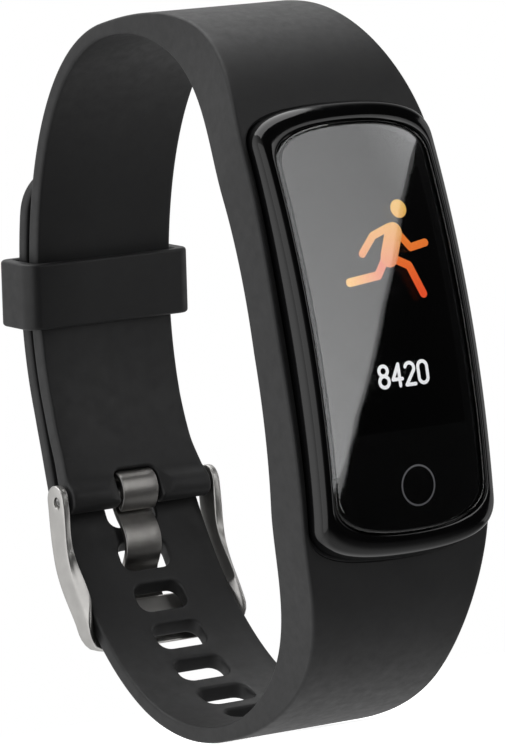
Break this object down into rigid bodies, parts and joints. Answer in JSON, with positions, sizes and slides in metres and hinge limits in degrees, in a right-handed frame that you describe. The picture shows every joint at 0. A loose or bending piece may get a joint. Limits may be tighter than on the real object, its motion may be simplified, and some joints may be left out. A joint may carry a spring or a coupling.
{
  "type": "fitness tracker band",
  "caption": "Slim wrist tracker: a tall crowned display module pressed into a moulded strap, with a pin buckle and a free keeper loop.",
  "frame": {"origin": "middle of the wrist opening, on the wrist's axis", "axes": "+X along the wrist's axis, to the display's right; -Y out of the display's face; +Y out of the buckle side; +Z to the display's top"},
  "size_m": [0.022, 0.0553, 0.0711],
  "materials": {
    "silicone": "matte moulded black silicone",
    "gloss_case": "polished black",
    "cover_glass": "hard crowned cover glass, black printed border",
    "steel": "satin with polished edges",
    "black_plastic": "fine spark texture",
    "foam_tape": "closed-cell foam tape",
    "display_face": "display panel",
    "backlight_white": "white diffuser",
    "flex_amber": "polyimide film",
    "board_green": "solder mask",
    "chip_black": "moulded package",
    "ceramic": "fired ceramic",
    "cell_foil": "laminated foil",
    "gold": "gold plate",
    "led_green": "clear cast package",
    "sensor_lens": "smoked clear lens",
    "heavy_metal": "sintered"
  },
  "bodies": {
    "strap": {"strap": "silicone"},
    "tracker": {"front_case": "gloss_case", "front_glass": "cover_glass", "glass_adhesive": "foam_tape", "display_panel": "display_face", "display_backlight": "backlight_white", "display_flex": "flex_amber", "touch_key_pad": "gold", "inner_frame": "black_plastic", "main_board": "board_green", "processor_chip": "chip_black", "memory_chip": "chip_black", "motion_sensor_chip": "chip_black", "charger_chip": "chip_black", "clock_crystal": "cell_foil", "antenna_chip": "ceramic", "flex_connector": "black_plastic", "battery_cell": "cell_foil", "battery_board": "board_green", "battery_tape": "foam_tape", "vibration_motor_case": "steel", "vibration_motor_cover": "steel", "vibration_motor_shaft": "steel", "sensor_board": "board_green", "sensor_led_upper": "led_green", "sensor_led_lower": "led_green", "sensor_photodiode": "chip_black", "sensor_light_wall": "black_plastic", "sensor_window": "sensor_lens", "back_cover": "black_plastic", "case_seal": "foam_tape", "charging_contact_left": "gold", "charging_contact_right": "gold", "back_screw_lower_left": "steel", "back_screw_lower_right": "steel", "back_screw_upper_left": "steel", "back_screw_upper_right": "steel"},
    "motor_rotor": {"vibration_motor_rotor": "heavy_metal"},
    "buckle": {"buckle_frame": "steel", "buckle_pin": "steel"},
    "tongue": {"buckle_tongue": "steel"},
    "keeper": {"keeper_loop": "silicone"}
  },
  "joints": [
    {"name": "module_release", "type": "slide", "parent": "strap", "child": "tracker", "axis": [0, -1, 0], "range_m": [0, 0.015]},
    {"name": "motor_spin", "type": "hinge", "parent": "tracker", "child": "motor_rotor", "pos_m": [0, -0.0233, -0.0155], "axis": [0, 1, 0], "continuous": true},
    {"name": "buckle_swing", "type": "hinge", "parent": "strap", "child": "buckle", "pos_m": [0, 0.021, -0.00925], "axis": [1, 0, 0], "range_deg": [-2, 12]},
    {"name": "tongue_swing", "type": "hinge", "parent": "strap", "child": "tongue", "pos_m": [0, 0.021, -0.00925], "axis": [1, 0, 0], "range_deg": [-2, 12]},
    {"name": "keeper_slide", "type": "hinge", "parent": "strap", "child": "keeper", "pos_m": [0, -0.0165, 0.00198], "axis": [1, 0, 0], "range_deg": [-20, 12]}
  ],
  "couplings": [
    {"joint": "tongue_swing", "follows": "buckle_swing", "ratio": 1}
  ]
}
